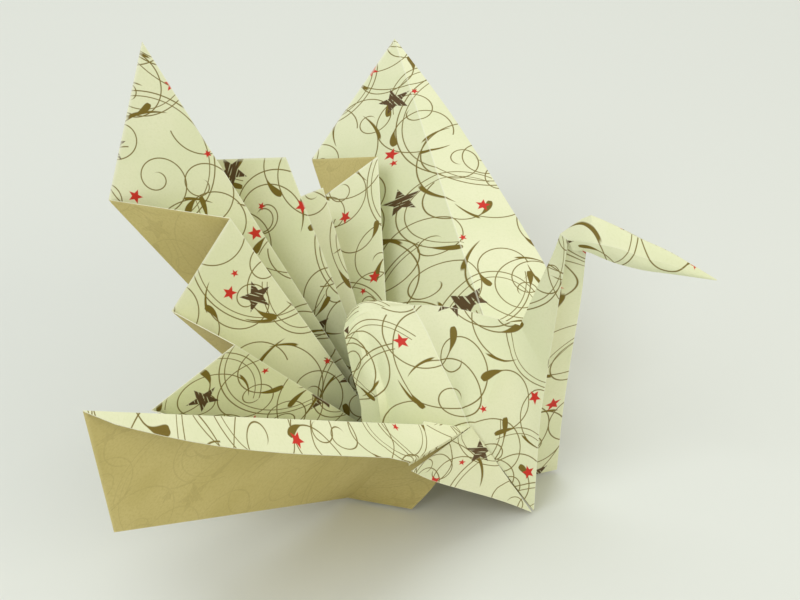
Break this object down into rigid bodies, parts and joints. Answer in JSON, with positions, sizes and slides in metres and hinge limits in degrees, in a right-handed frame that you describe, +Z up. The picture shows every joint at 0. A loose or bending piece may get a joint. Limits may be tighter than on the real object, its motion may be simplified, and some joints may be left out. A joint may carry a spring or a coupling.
{
  "type": "folded paper crane",
  "caption": "Folded paper crane with a pleated fan tail that joins two spread wings, a puffed back, an upright neck and a bent beak.",
  "frame": {"origin": "middle of the bird's outline, on the surface that it stands on", "axes": "+X forwards along the beak, +Y to the bird's left, +Z up"},
  "size_m": [0.0866, 0.1156, 0.065],
  "materials": {
    "printed_paper": "smooth printed paper, pale cream-green"
  },
  "bodies": {
    "root": {"folded_crane": "printed_paper"}
  },
  "joints": []
}
